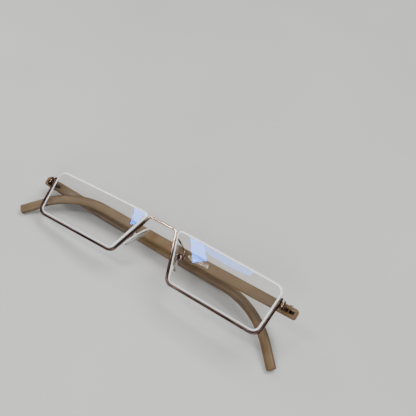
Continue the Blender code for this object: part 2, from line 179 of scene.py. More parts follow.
# painted highlight on the bridge: bright copper near the middle, the dark coating further out
HIGHLIGHT_WITHIN, HIGHLIGHT_GONE_BEYOND = 0.0065, 0.0095     # metres from the middle of the bridge
on_bridge = add_node(tree, "ShaderNodeMapRange",
                     {"From Min": HIGHLIGHT_WITHIN, "From Max": HIGHLIGHT_GONE_BEYOND,
                      "To Min": 1.0, "To Max": 0.0})
tree.links.new(from_middle.outputs[0], on_bridge.inputs["Value"])
bridge_highlight_mix = add_node(tree, "ShaderNodeMix", data_type="RGBA")
tree.links.new(on_bridge.outputs[0], bridge_highlight_mix.inputs["Factor"])
COLOUR_A, COLOUR_B, COLOUR_OUT = 6, 7, 2        # the Mix node's colour sockets, by number
tree.links.new(dark, bridge_highlight_mix.inputs[COLOUR_A])
tree.links.new(copper, bridge_highlight_mix.inputs[COLOUR_B])
tree.links.new(bridge_highlight_mix.outputs[COLOUR_OUT], shader.inputs["Base Color"])
drawn = noise(tree, 1, 4, (60, 4, 1), "UV")
tree.links.new(ramp(tree, drawn, [(0.3, 0.18), (0.75, 0.30)]), shader.inputs["Roughness"])
bump(tree, shader, drawn, 0.000001)
print("made", bronze.name)

# %% [markdown]
# ## Bare copper at the hinges and pads
# The small soldered parts are left brighter than the wire.  A noise of under a millimetre
# stands for the file marks in the roughness and the bump, which break up what the surface
# mirrors; in the colour it runs from dark copper to specks of bright copper, painted glints.

# %% Bare copper
bare_copper, tree, shader = finish("bare_copper", (0.15, 0.09, 0.065), Metallic=1.0)
file_marks_and_glints = noise(tree, 1500, 4)
# painted glints: the ramp's bright top stop gives specks of bright copper where the noise is
# high
copper_with_painted_glints = ramp(tree, file_marks_and_glints, [(0.3, (0.07, 0.040, 0.030)), (0.5, (0.13, 0.078, 0.055)),
                                (0.75, (0.55, 0.39, 0.29))])
tree.links.new(copper_with_painted_glints, shader.inputs["Base Color"])
tree.links.new(ramp(tree, file_marks_and_glints, [(0.3, 0.07), (0.7, 0.22)]), shader.inputs["Roughness"])
bump(tree, shader, file_marks_and_glints, 0.00003, 0.8)
print("made", bare_copper.name)

# %% [markdown]
# ## Bright screws and inserts
# Turned steel, plated a warm nickel: the same recipe with less colour, and finer marks.

# %% Screw steel
steel, tree, shader = finish("turned_steel", (0.55, 0.49, 0.43), Metallic=1.0)
marks = noise(tree, 3000, 3)
tree.links.new(ramp(tree, marks, [(0.3, (0.46, 0.40, 0.34)), (0.7, (0.66, 0.60, 0.53))]),
               shader.inputs["Base Color"])
tree.links.new(ramp(tree, marks, [(0.3, 0.16), (0.7, 0.34)]), shader.inputs["Roughness"])
bump(tree, shader, marks, 0.000008)
print("made", steel.name)

# %% [markdown]
# ## Matte tan plastic
# The arms are moulded in a matte tan plastic.  Spark-eroded moulds leave a grain a few
# hundredths of a millimetre deep, which breaks up the highlight; years of handling polish
# it unevenly, so a slower noise varies the roughness, and pigment varies a little too.

# %% Tan plastic
tan, tree, shader = finish("matte_tan_plastic", (0.10, 0.060, 0.026),
                           Specular_IOR_Level=0.34)
pigment = noise(tree, 160, 5)
tans = ramp(tree, pigment, [(0.25, (0.082, 0.047, 0.018)), (0.55, (0.103, 0.062, 0.025)),
                            (0.8, (0.130, 0.081, 0.034))])
tree.links.new(tans, shader.inputs["Base Color"])
handled = noise(tree, 420, 3)
tree.links.new(ramp(tree, handled, [(0.3, 0.40), (0.75, 0.56)]), shader.inputs["Roughness"])
grain = noise(tree, 5200, 2)
bump(tree, shader, grain, 0.000022, 0.55)
print("made", tan.name)

# %% [markdown]
# ## Coated lens resin
# A reading lens is clear resin with an anti-reflection coating that throws back only blue
# light.  The Principled shader's specular tint does exactly that: what the surface mirrors
# is blue, what it lets through stays clear.  Lamps go straight through, by a Transparent
# shader for shadow rays, because path tracing finds light behind glass only by luck.  Light
# that the table scatters takes the same way, or the table under a lens is lit twice.

# %% Lens resin
def let_lamps_through(mat, tree, shader, tint):
    """Swap the shader for a tinted clear one for shadow rays and for scattered light."""
    rays = add_node(tree, "ShaderNodeLightPath")
    either = add_node(tree, "ShaderNodeMath", operation="MAXIMUM")
    clear = add_node(tree, "ShaderNodeBsdfTransparent", {"Color": (*tint, 1)})
    mix = add_node(tree, "ShaderNodeMixShader")
    tree.links.new(rays.outputs["Is Shadow Ray"], either.inputs[0])
    tree.links.new(rays.outputs["Is Diffuse Ray"], either.inputs[1])
    tree.links.new(either.outputs[0], mix.inputs[0])
    tree.links.new(shader.outputs[0], mix.inputs[1])
    tree.links.new(clear.outputs[0], mix.inputs[2])
    tree.links.new(mix.outputs[0], tree.nodes["Material Output"].inputs["Surface"])


def lens_face(name, mirror_tint):
    """Clear resin whose thin coating mirrors only the colours in mirror_tint."""
    mat, tree, shader = finish(name, (0.93, 0.935, 0.93), IOR=1.6, Transmission_Weight=1.0,
                               Specular_Tint=(*mirror_tint, 1))
    wiped = noise(tree, 140, 4, (1, 2.5, 1))
    tree.links.new(ramp(tree, wiped, [(0.35, 0.012), (0.8, 0.035)]),
                   shader.inputs["Roughness"])
    let_lamps_through(mat, tree, shader, (0.94, 0.95, 0.96))
    return mat


resin = lens_face("coated_lens_resin", (0.0, 0.20, 1.0))
resin_back = lens_face("lens_back_resin", (0.0, 0.0, 0.03))
print("made", resin.name, resin_back.name)

# %% [markdown]
# ## Lens edge painted white
# The bevelled rim of each lens is coloured white all round the clear middle, a painted
# highlight for the bright line that its polished bevel shows.

# %% Lens edge painted white
# painted highlight: the white of the lens's edge band stands for the bright line of its
# polished bevel
edge_highlight_white, tree, shader = finish("lens_edge_painted_highlight", (0.86, 0.88, 0.92), Roughness=0.35,
                              Subsurface_Weight=0.2, Subsurface_Scale=0.0006)
edge_noise = noise(tree, 2600, 3)
tree.links.new(ramp(tree, edge_noise, [(0.3, (0.88, 0.90, 0.93)), (0.7, (0.97, 0.975, 0.98))]),
               shader.inputs["Base Color"])
bump(tree, shader, edge_noise, 0.00001, 0.6)
print("made", edge_highlight_white.name)

# %% [markdown]
# ## Clear nylon and clear silicone
# The thread over the top of each lens is clear nylon, a little cloudy.  The nose pads are
# clear silicone: softer shine, a faint warm tint and tiny flow marks from the mould.  A
# whiter, less clear band round each pad's rim is a painted highlight for its bright outline.

# %% Nylon and silicone
nylon, tree, shader = finish("clear_nylon", (0.93, 0.94, 0.96), IOR=1.5,
                             Transmission_Weight=0.75)
cloud = noise(tree, 900, 3)
tree.links.new(ramp(tree, cloud, [(0.3, 0.12), (0.7, 0.30)]), shader.inputs["Roughness"])
let_lamps_through(nylon, tree, shader, (0.85, 0.86, 0.88))

silicone, tree, shader = finish("clear_silicone", (0.97, 0.975, 0.97), IOR=1.42,
                                Transmission_Weight=1.0, Sheen_Weight=0.7,
                                Sheen_Roughness=0.25)
flow = noise(tree, 700, 4, (1, 1, 2))
tree.links.new(ramp(tree, flow, [(0.3, 0.02), (0.75, 0.07)]), shader.inputs["Roughness"])
bump(tree, shader, flow, 0.000008, 0.4)
let_lamps_through(silicone, tree, shader, (0.88, 0.89, 0.88))

# painted highlight: a whiter, less clear silicone for the band round each pad's rim
silicone_rim_painted_highlight, tree, shader = finish("silicone_rim_painted_highlight", (0.97, 0.97, 0.96), IOR=1.42,
                                    Transmission_Weight=0.35, Specular_IOR_Level=0.8)
rim_noise = noise(tree, 900, 3)
tree.links.new(ramp(tree, rim_noise, [(0.3, 0.08), (0.7, 0.25)]), shader.inputs["Roughness"])
let_lamps_through(silicone_rim_painted_highlight, tree, shader, (0.80, 0.81, 0.80))
print("made", nylon.name, silicone.name, silicone_rim_painted_highlight.name)

# %% [markdown]
# ## From the worn frame to the table
# Folded glasses rest on the two arm tips and on one arm's bend.  The table's normal in the
# worn frame fixes that pose: three perpendicular directions make a turn, and a shift puts
# the object's box in the middle with its lowest point on the table.

# %% Resting pose
MM = 0.001
TABLE_UP = unit((0.0987, 0.4191, 0.9026))
SHIFT = np.array((-0.001018, 0.004511, 0.017392))
ALONG = unit(np.array((1, 0, 0)) - TABLE_UP * TABLE_UP[0])
TURN = np.array((ALONG, np.cross(TABLE_UP, ALONG), TABLE_UP))


def lay(points):
    """Worn-frame millimetres become metres on the table: turn each point, then shift it."""
    return np.asarray(points) @ TURN.T * MM + SHIFT


PIN = np.array((64.1, 0.4, -5.8))
pins = {j["name"]: np.array(j["pos_m"]) for j in frame["joints"]}
print("hinge pin is off the CAD's by, mm:",
      np.round(1000 * (lay(PIN) - pins["left_arm_hinge"]), 3))

# %% [markdown]
# ## Helpers for surfaces
# Almost every piece here is a skin over a stack of rings: an outline carried along a path.
# The rings are one array of shape (rings, points, 3), the faces are index arithmetic on
# the same grid, and each piece gets a UV map whose V is the length along it.

# %% Surface helpers
def skin(rings, closed=False, caps=True):
    """Quads between neighbouring rings, closed round each ring; flat caps on both ends.

    Face (i, j) joins points j and j+1 of ring i to the same points of ring i+1.  U is
    j over the number of points, V the distance along the ring centres in centimetres.
    """
    rings = np.asarray(rings, float)
    count, around = rings.shape[:2]
    i = np.arange(count if closed else count - 1)[:, None]
    j = np.arange(around)[None, :]
    after, beside = (i + 1) % count, (j + 1) % around
    quads = np.stack((i * around + j, i * around + beside, after * around + beside,
                      after * around + j), -1).reshape(-1, 4)
    steps = np.linalg.norm(np.diff(rings.mean(1), axis=0), axis=1)
    travel = np.concatenate(((0,), np.cumsum(steps))) / 10
    u = np.stack((j, j + 1, j + 1, j), -1) / around + 0.0 * i[..., None]
    v = np.stack([travel[k] for k in (i, i, np.minimum(i + 1, count - 1),
                                      np.minimum(i + 1, count - 1))], -1) + 0.0 * u
    uvs = [np.stack((u, v), -1).reshape(-1, 2)]
    faces = quads.tolist()
    if caps and not closed:
        faces += [list(range(around))[::-1], list(range((count - 1) * around, count * around))]
        uvs.append(np.full((2 * around, 2), 0.5))
    return {"verts": rings.reshape(-1, 3), "faces": faces, "uvs": np.vstack(uvs),
            "mats": np.zeros(len(faces), int)}


print("faces of a six-sided test bar:", len(skin(np.zeros((3, 6, 3)))["faces"]))

# %% [markdown]
# ## From arrays to a piece
# One function turns such shells into a Blender object, so that every piece is made alike:
# welded, its faces turned outwards, its sharp edges marked, and tied to the body it moves
# with.  It prints how many edges are left open, which should be none.

# %% Building a piece
WELD = 0.002


def build(name, shells, finishes, body, sharp=40):
    """Joins shells of worn-frame millimetres into one mesh on the table.

    Points closer than WELD are merged, which closes poles, and the faces of each closed
    shell are turned outwards.  The piece stands for the CAD node of the same name.
    """
    starts = np.cumsum([0] + [len(s["verts"]) for s in shells])
    verts = lay(np.vstack([s["verts"] for s in shells]))
    faces = [[p + int(first) for p in face]
             for s, first in zip(shells, starts) for face in s["faces"]]
    mesh = bpy.data.meshes.new(name)
    mesh.from_pydata(verts.tolist(), [], faces)
    mesh.uv_layers.new(name="along").data.foreach_set(
        "uv", np.vstack([s["uvs"] for s in shells]).ravel())
    mesh.polygons.foreach_set("material_index", np.concatenate([s["mats"] for s in shells]))
    for mat in finishes:
        mesh.materials.append(mat)
    shape = bmesh.new()
    shape.from_mesh(mesh)
    bmesh.ops.remove_doubles(shape, verts=shape.verts, dist=WELD * MM)
    bmesh.ops.recalc_face_normals(shape, faces=shape.faces)
    open_edges = sum(not e.is_manifold for e in shape.edges)
    shape.to_mesh(mesh)
    shape.free()
    mesh.shade_smooth()
    mesh.set_sharp_from_angle(angle=math.radians(sharp))
    piece = bpy.data.objects.new(name, mesh)
    bpy.context.scene.collection.objects.link(piece)
    node = name.removesuffix("_skin")
    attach(piece, body)
    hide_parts(node)
    print(f"{name}: {len(mesh.polygons)} faces, {open_edges} open edges")
    return piece


print("points are welded within, mm:", WELD)

# %% [markdown]
# ## Sections and paths
# A bar is a section carried along a path.  The section is a superellipse, which goes from a
# round wire to an almost square strip by one power.  Its ends are rounded over by shrinking
# the last sections along a quarter circle, which needs closer rings near the ends.

# %% Sections and paths
def oval(count, half_a, half_b, power=2.0):
    """Superellipse: cosine and sine of an even angle, each raised to 2/power."""
    angle = (np.arange(count) + 0.5) * 2 * np.pi / count
    c, s = np.cos(angle), np.sin(angle)
    power, half_a, half_b = (np.asarray(q, float)[..., None] for q in (power, half_a, half_b))
    return np.stack((half_a * np.sign(c) * np.abs(c) ** (2 / power),
                     half_b * np.sign(s) * np.abs(s) ** (2 / power)), -1)


def carry(path, section, up=(0, 0, 1)):
    """Section points (a, b) at each path point: path + a * side + b * rise.

    Side is tangent x up, and rise is side x tangent, so rise leans towards up.
    """
    tangent = unit(np.gradient(path, axis=0))
    side = unit(np.cross(tangent, np.broadcast_to(up, path.shape)))
    rise = np.cross(side, tangent)
    section = np.broadcast_to(section, (len(path),) + np.shape(section)[-2:])
    return path[:, None] + side[:, None] * section[..., :1] + rise[:, None] * section[..., 1:]


def rounded_ends(travel, radius):
    """Scale that rounds a bar's ends: the height of a quarter circle, over its radius."""
    near = np.minimum(travel, travel[-1] - travel)
    return np.sqrt(np.clip(1 - (1 - np.clip(near / radius, 0, 1)) ** 2, 0.02, 1))


def even(path, spacing, ends=0.0):
    """The same line in equal steps, with closer points near rounded ends."""
    travel = np.concatenate(((0,), np.cumsum(np.linalg.norm(np.diff(path, axis=0), axis=1))))
    wanted = np.linspace(0, travel[-1], max(3, round(travel[-1] / spacing)))
    if ends:
        near = ends * np.array((0.01, 0.05, 0.15, 0.3, 0.55, 0.8, 1.0))
        wanted = np.unique(np.concatenate((wanted[(wanted > ends * 1.1)
                                                  & (wanted < travel[-1] - ends * 1.1)],
                                           (0,), near, travel[-1] - near, (travel[-1],))))
    return np.column_stack([np.interp(wanted, travel, c) for c in path.T]), wanted


print("a round and a square section:", np.abs(oval(16, 1, 1)).max().round(3),
      np.abs(oval(16, 1, 1, 6)).max().round(3))

# %% [markdown]
# ## Outlines with rounded corners
# The lens is a long rounded trapezium, and the wire follows it at a fixed distance.  Each
# corner is an arc that touches both edges, with the same number of points whatever its
# radius, so that rings of different inset line up point by point.

# %% Rounded outlines
LENS_CORNERS = ((60.0, 7.4), (7.7, 8.4), (15.4, -13.2), (57.9, -13.8))
LENS_RADII = np.array((3.6, 1.8, 2.7, 3.2))


def moved_out(corners, distance):
    """Every edge of the polygon moves out by distance, and the edges are met again."""
    corners = np.array(corners, float)
    edge = unit(np.roll(corners, -1, axis=0) - corners)
    normal = np.stack((-edge[:, 1], edge[:, 0]), 1)
    if np.sum(normal * (corners - corners.mean(0))) < 0:
        normal = -normal
    before = np.roll(normal, 1, axis=0)
    rows = np.stack((before, normal), 1)
    reach = np.stack((np.sum(before * corners, 1), np.sum(normal * corners, 1)), 1) + distance
    return np.linalg.solve(rows, reach[..., None])[..., 0]


def rounded(corners, radii, closed=False, arc=12, edge=20):
    """Corners become arcs by turning one spoke into the other; edges are even steps."""
    corners = np.asarray(corners, float)
    to_last = unit(np.roll(corners, 1, axis=0) - corners)
    to_next = unit(np.roll(corners, -1, axis=0) - corners)
    t = np.linspace(0, 1, arc + 1)[:, None]
    parts = []
    for corner, a, b, radius in zip(corners, to_last, to_next, radii):
        if radius <= 0:
            parts.append(corner[None])
            continue
        half = math.acos(np.clip(a @ b, -1, 1)) / 2
        centre = corner + unit(a + b) * radius / math.sin(half)
        spokes = (corner + a * radius / math.tan(half) - centre,
                  corner + b * radius / math.tan(half) - centre)
        turn = math.pi - 2 * half
        parts.append(centre + (np.sin((1 - t) * turn) * spokes[0]
                               + np.sin(t * turn) * spokes[1]) / math.sin(turn))
    line = []
    for part, following in zip(parts, parts[1:] + parts[:1]):
        line += [part, np.linspace(part[-1], following[0], edge + 2)[1:-1]]
    return np.vstack(line if closed else line[:-1])


def front_curve(x):
    """Height of the curved front: 1.6 (1 - (x/60)^2) plus a 0.9 mm bulge over each lens."""
    x = np.abs(x)
    return 1.6 * (1 - (x / 60) ** 2) + 0.9 * np.clip(1 - ((x - 34) / 26.5) ** 2, 0, None)


def on_front(line):
    """A flat (x, y) line laid on the curved front."""
    return np.column_stack((line, front_curve(line[:, 0])))


print("lens outline points:", len(rounded(LENS_CORNERS, LENS_RADII, True)))

# %% [markdown]
# ## The bent wire front
# One wire makes the bridge and both half rims: it starts at the outer side of one lens,
# runs under it, climbs the nose side, and turns sharply into the bridge.  Its section is a
# flattened oval, 1.2 by 1.8 mm, carried along the line; the cut ends are rounded over.

# %% Front wire
RIM_OUT, BRIDGE_Y, RIM_TOP = 0.87, 7.5, 3.5
rim = moved_out(LENS_CORNERS, RIM_OUT)
top_out, top_in, low_in, low_out = rim
nose_turn = low_in + (top_in - low_in) * (BRIDGE_Y - low_in[1]) / (top_in[1] - low_in[1])
rim_end = low_out + (top_out - low_out) * (RIM_TOP - low_out[1]) / (top_out[1] - low_out[1])
half = np.array((rim_end, low_out, low_in, nose_turn))
radii = np.array((0, LENS_RADII[3] + RIM_OUT, LENS_RADII[2] + RIM_OUT, 1.6))
line = rounded(np.vstack((half, half[::-1] * (-1, 1))), np.concatenate((radii, radii[::-1])))
path, travel = even(on_front(line), 0.55, 0.35)
thin = rounded_ends(travel, 0.35)
build("front_wire_skin",
      [skin(carry(path, oval(20, 0.62 * thin, 0.9 * thin, 2.6)))], [bronze], "front",
      55)

# %% [markdown]
# ## The lenses
# A lens is one closed surface: rings grow from the middle of the front face to its edge,
# go over a small bevel, down into the groove and out again, over the second bevel and back
# to the middle of the rear face.  A product of two parabolas gives the faces their crown.

# %% Lenses
MID, HALF_THICK, GROOVE = np.array((34.0, -3.0)), 0.95, 0.35
FRONT_BEVEL, BACK_BEVEL, FRONT_CROWN, BACK_CROWN = 0.55, 0.44, 0.35, 0.2


def lens_outline(inset):
    """The lens outline moved in by inset, its corner radii shrinking with it."""
    return rounded(moved_out(LENS_CORNERS, -inset), np.maximum(LENS_RADII - inset, 0.4), True)


def crown(line, height):
    """height (1 - (x/27)^2) (1 - (y/11.5)^2), measured from the lens's middle."""
    x, y = (line - MID).T
    return height * np.clip(1 - (x / 27) ** 2, 0, 1) * np.clip(1 - (y / 11.5) ** 2, 0, 1)


def lens_rings(side):
    """Face rings shrink the outline about its middle; edge rings are insets of it."""
    shrink = np.array((0, 0.02, 0.1, 0.2, 0.3, 0.4, 0.5, 0.6, 0.7, 0.78, 0.86, 0.92, 0.96,
                       0.985))
    front = [np.column_stack((p, front_curve(p[:, 0]) + HALF_THICK + crown(p, FRONT_CROWN)))
             for p in (MID + (lens_outline(FRONT_BEVEL) - MID) * t for t in shrink)]
    back = [np.column_stack((p, front_curve(p[:, 0]) - HALF_THICK + crown(p, BACK_CROWN)))
            for p in (MID + (lens_outline(BACK_BEVEL) - MID) * t for t in shrink[::-1])]
    profile = ((FRONT_BEVEL, HALF_THICK), (0.51, 0.94), (0.34, 0.82), (0.10, 0.64),
               (0.0, 0.56), (0.0, 0.47), (0.04, 0.42), (GROOVE, 0.36), (GROOVE, -0.36),
               (0.04, -0.42), (0.0, -0.47), (0.0, -0.62), (0.08, -0.74), (0.38, -0.94),
               (BACK_BEVEL, -HALF_THICK))
    edge = []
    for inset, rise in profile:
        p = lens_outline(inset)
        edge.append(np.column_stack((p, front_curve(p[:, 0]) + rise
                                     + (crown(p, FRONT_CROWN) if rise > 0.9 else 0)
                                     + (crown(p, BACK_CROWN) if rise < -0.9 else 0))))
    rings = np.array(front + edge + back)
    rings[..., 0] *= side
    return rings, len(front), len(edge)


for side, word in ((1, "left"), (-1, "right")):
    rings, first, wide = lens_rings(side)
    shell = skin(rings, caps=False)
    bands = np.repeat(np.arange(len(rings) - 1), rings.shape[1])
    # the bands over the bevels and the groove take the white edge colour, a painted highlight
    shell["mats"] = (bands >= first).astype(int) + (bands >= first + wide - 1)
    build(f"{word}_lens_skin", [shell], [resin, edge_highlight_white, resin_back], "front", 25)

# %% [markdown]
# ## The thread over each lens
# A nylon thread lies in the groove across the open top and ends at the wire on both sides.

# %% Lens threads
THREAD_OUT, THREAD_R, THREAD_LOW, STOP_SHORT = 0.2, 0.25, 4.0, 0.045
for side, word in ((1, "left"), (-1, "right")):
    top_out, top_in, low_in, low_out = moved_out(LENS_CORNERS, THREAD_OUT)
    climb = (THREAD_LOW - low_out[1]) / (top_out[1] - low_out[1])
    start = low_out + (top_out - low_out) * climb
    line = rounded((start, top_out, top_in + (top_out - top_in) * STOP_SHORT),
                   (0, LENS_RADII[0] + THREAD_OUT, 0))
    path, travel = even(on_front(line), 0.8, 0.2)
    path[:, 0] *= side
    thin = rounded_ends(travel, 0.2)
    thread = skin(carry(path, oval(14, THREAD_R * thin, THREAD_R * thin)))
    build(f"{word}_lens_cord_skin", [thread], [nylon], "front", 60)

# %% [markdown]
# ## End pieces
# On each outer side a small plate is soldered to the rim.  A flat tongue leaves it, turns
# back and ends in an eye round the hinge screw.  Blocks are rounded rectangles stacked
# with their first and last rings drawn in; the eye is a closed ring of rectangles.

# %% End pieces
def block(centre, half_size, corner, soft):
    """Rounded rectangle raised along the third axis, its rims drawn in by soft."""
    a, b, c = half_size
    square = np.array(((a, b), (-a, b), (-a, -b), (a, -b)))
    rings = []
    for inset, rise in ((soft, -c), (0.3 * soft, soft * 0.3 - c), (0, soft - c), (0, c - soft),
                        (0.3 * soft, c - soft * 0.3), (soft, c)):
        line = rounded(moved_out(square, -inset), (max(corner - inset, 0.02),) * 4, True, 5, 2)
        rings.append(np.column_stack((line, np.full(len(line), rise))))
    return skin(np.array(rings) + centre)


def turned_rod(profile, centre=(0, 0, 0), count=28):
    """Profile of (radius, height) pairs turned about the third axis."""
    angle = np.arange(count) * 2 * np.pi / count
    rings = [np.column_stack((r * np.cos(angle), r * np.sin(angle), np.full(count, h)))
             for r, h in profile]
    return skin(np.array(rings) + centre)


def ring_eye(centre, inner, outer, half_height, turn, count=36):
    """A rounded rectangle between two radii, turned about the third axis and closed."""
    mid, wall = (inner + outer) / 2, (outer - inner) / 2
    cut = oval(16, wall, half_height, 5)
    angle = (np.arange(count) * 2 * np.pi / count)[:, None]
    r, h = mid + cut[:, 0], cut[:, 1] + 0 * angle
    return skin(np.stack((r * np.cos(angle), r * np.sin(angle), h), -1) @ turn + centre,
                closed=True)


PLATE_X = 62.15
UPRIGHT = np.array(((1, 0, 0), (0, 0, -1), (0, 1, 0)))     # third axis along the pin, Y
for side, word in ((1, "left"), (-1, "right")):
    plate = block((62.12, 0.7, -0.05), half_size=(0.38, 2.2, 0.95), corner=0.18, soft=0.12)
    line = rounded(((PLATE_X, 0.5), (PLATE_X, -2.2), (PIN[0], PIN[2])), (0, 1.6, 0),
                   arc=14, edge=10)
    path, travel = even(np.column_stack((line[:, 0], np.full(len(line), PIN[1]),
                                         line[:, 1])), 0.2)
    tongue = skin(carry(path, oval(20, 0.55, 0.36, 7), (0, 1, 0)))
    eye = ring_eye(PIN, inner=0.5, outer=0.95, half_height=0.45, turn=UPRIGHT)
    solder = turned_rod([(0.02, 0.62), (0.35, 0.55), (0.62, 0.3), (0.72, -0.1), (0.7, -0.4)],
                        (PLATE_X, 0.4, 0.0))
    shells = [plate, tongue, eye, solder]
    for shell in shells:
        shell["verts"] = shell["verts"] * (side, 1, 1)
    build(f"{word}_end_piece_skin", shells, [bare_copper], "front", 40)

# %% [markdown]
# ## The side arms
# Each arm is a bowed plastic strip: nearly rectangular at the hinge, softer and thicker
# towards the tip, which bends down round the ear.  The line is a straight run, an arc and
# a short straight; a parabola bows it outwards.  A folded arm has its own frame, in which
# that line is simple, and is then turned about its hinge pin into place.

# %% Where an arm lies
ARM_FRONT, ARM_STRAIGHT, ARM_TIP = 4.0, 101.2, 10.2
BEND_R, BEND = 39.5, math.radians(46.6)
ARM_TOTAL = ARM_STRAIGHT + BEND_R * BEND + ARM_TIP
FOLD, SWAY, RAKE = {1: 0.1, -1: 5.4}, {1: -0.6, -1: 1.7}, 1.0
BOW_RATE, BOW_SPAN, BOW_START = 0.0014, 110.0, 0.25


def about(axis, degrees):
    """Rotation by degrees about a coordinate axis, as a matrix for column vectors."""
    return np.array(Matrix.Rotation(math.radians(degrees), 3, axis))


def arm_place(points, side):
    """From the folded arm's own frame (along, up the pin, outwards) to the worn frame."""
    fold = math.radians(FOLD[side])
    along = np.array((-side * math.cos(fold), 0, -math.sin(fold)))
    basis = np.column_stack((along, (0, 1, 0), np.cross(along, (0, 1, 0))))
    turn = about("Z", side * SWAY[side]) @ about("X", -RAKE) @ basis
    return points * (1, 1, side) @ turn.T + PIN * (side, 1, 1)


def arm_bow(u):
    """How far the arm bows outwards: 0.0014 u (110 - u) + 0.25, in millimetres."""
    return BOW_RATE * u * (BOW_SPAN - u) + BOW_START


print("length of an arm along its line, mm:", round(ARM_TOTAL, 1))

# %% [markdown]
# ## The skin of a side arm
# The section goes round a superellipse, written as height against thickness, so that two of
# its lines can sit exactly on the walls of the hinge slot: between them the inner face drops
# to the slot's floor.  Doubled rings at the slot's ends make its end walls upright.  Towards
# the tip the power falls, which turns the strip into a soft oval.

# %% Side arms
SLOT_U, SLOT_HALF, SLOT_FLOOR = (-2.9, 4.8), 0.75, 1.15
ARM_HIGH, ARM_THICK, TIP_LOWER, TIP_THICKER = 2.35, 1.3, 0.15, 0.35     # half sizes
ROOT_ROUND, ROOT_THINNER, TIP_ROUND, TIP_DROP = 1.3, 0.4, 0.5, 0.45
SOFTEN_FROM, SOFTEN_OVER, BOXY, SOFTER = 0.48, 0.36, 6.0, 3.7
AROUND = 15


def smooth(t):
    """3 t^2 - 2 t^3 between 0 and 1."""
    t = np.clip(t, 0, 1)
    return t * t * (3 - 2 * t)


def arm_rings():
    """Rings of the arm in its own frame, the slot cut as a step in the inner face."""
    slot = np.array(SLOT_U) + ARM_FRONT
    s = np.concatenate((ROOT_ROUND * (1 - np.cos(np.linspace(0, np.pi / 2, 9))),
                        (slot[0],) * 2,
                        np.linspace(slot[0], slot[1], 8)[1:-1], (slot[1],) * 2,
                        np.linspace(slot[1], ARM_STRAIGHT, 70)[1:],
                        np.linspace(ARM_STRAIGHT, ARM_TOTAL - TIP_ROUND, 46)[1:],
                        ARM_TOTAL - TIP_ROUND * np.cos(np.linspace(0, np.pi / 2, 7))[1:]))
    s = np.sort(s)
    inside = (s > slot[0] - 1e-9) & (s < slot[1] + 1e-9)
    walls = np.flatnonzero(inside)
    inside[[walls[0], walls[-1]]] = False
    turn = np.clip((s - ARM_STRAIGHT) / BEND_R, 0, BEND)
    rest = np.clip(s - ARM_STRAIGHT - BEND_R * BEND, 0, None)
    u = np.minimum(s, ARM_STRAIGHT) + BEND_R * np.sin(turn) + rest * math.cos(BEND) - ARM_FRONT
    v = -BEND_R * (1 - np.cos(turn)) - rest * math.sin(BEND)
    bow, slope = arm_bow(u), BOW_RATE * (BOW_SPAN - 2 * u)
    path = np.column_stack((u, v, bow))
    tangent = unit(np.column_stack((np.cos(turn), -np.sin(turn), slope * np.cos(turn))))
    height = np.column_stack((np.sin(turn), np.cos(turn), np.zeros(len(s))))
    height = unit(height - tangent * np.sum(tangent * height, axis=1)[:, None])
    thick = np.cross(tangent, height)
    blend = smooth((s / ARM_TOTAL - SOFTEN_FROM) / SOFTEN_OVER)
    half_h, half_t = ARM_HIGH - TIP_LOWER * blend, ARM_THICK + TIP_THICKER * blend
    lift = 1 - np.sqrt(np.clip(1 - (1 - np.clip(s / ROOT_ROUND, 0, 1)) ** 2, 0, 1))
    end = np.clip(1 - (ARM_TOTAL - s) / TIP_ROUND, 0, 1)
    drop = TIP_DROP * (1 - np.sqrt(np.clip(1 - end ** 2, 0, 1)))
    half_h, half_t = half_h - ROOT_ROUND * lift - drop, half_t - ROOT_THINNER * lift - drop
    power = (BOXY - SOFTER * blend)[:, None]
    t = np.sin(np.linspace(-np.pi / 2, np.pi / 2, AROUND))
    wall = np.minimum(SLOT_HALF / half_h, 0.9)
    t = np.sort(np.concatenate((np.broadcast_to(t, (len(s), AROUND)),
                                np.column_stack((wall, wall, -wall, -wall))), axis=1), axis=1)
    reach = np.clip(1 - np.abs(t) ** power, 0, 1) ** (1 / power) * half_t[:, None]
    rise = t * half_h[:, None]
    low = np.abs(np.abs(t) - wall[:, None]) < 1e-12
    between = np.abs(t) < wall[:, None] - 1e-12
    order = np.cumsum(low, axis=1)
    floor = between | (low & ((order == 2) | (order == 3)))
    inner = np.where(floor & inside[:, None], SLOT_FLOOR - bow[:, None], -reach)
    a = np.concatenate((reach, inner[:, ::-1][:, 1:-1]), axis=1)
    b = np.concatenate((rise, rise[:, ::-1][:, 1:-1]), axis=1)
    return path[:, None] + thick[:, None] * a[..., None] + height[:, None] * b[..., None]


for side, word in ((1, "left"), (-1, "right")):
    shell = skin(arm_place(arm_rings(), side))
    build(f"{word}_side_arm_skin", [shell], [tan], f"{word}_arm", 32)

# %% [markdown]
# ## Power mark
# Readers carry their strength in dioptres, and the widths of lens and bridge in
# millimetres, printed white inside one arm.  Blender's text gives flat letters; as a mesh,
# each point is laid on the arm's bowed inner face, a hair above it so that it shows.

# %% Power mark
MARK_AT, MARK_HIGH, CAP_PART, INK = 39.5, 1.55, 0.7, 0.012


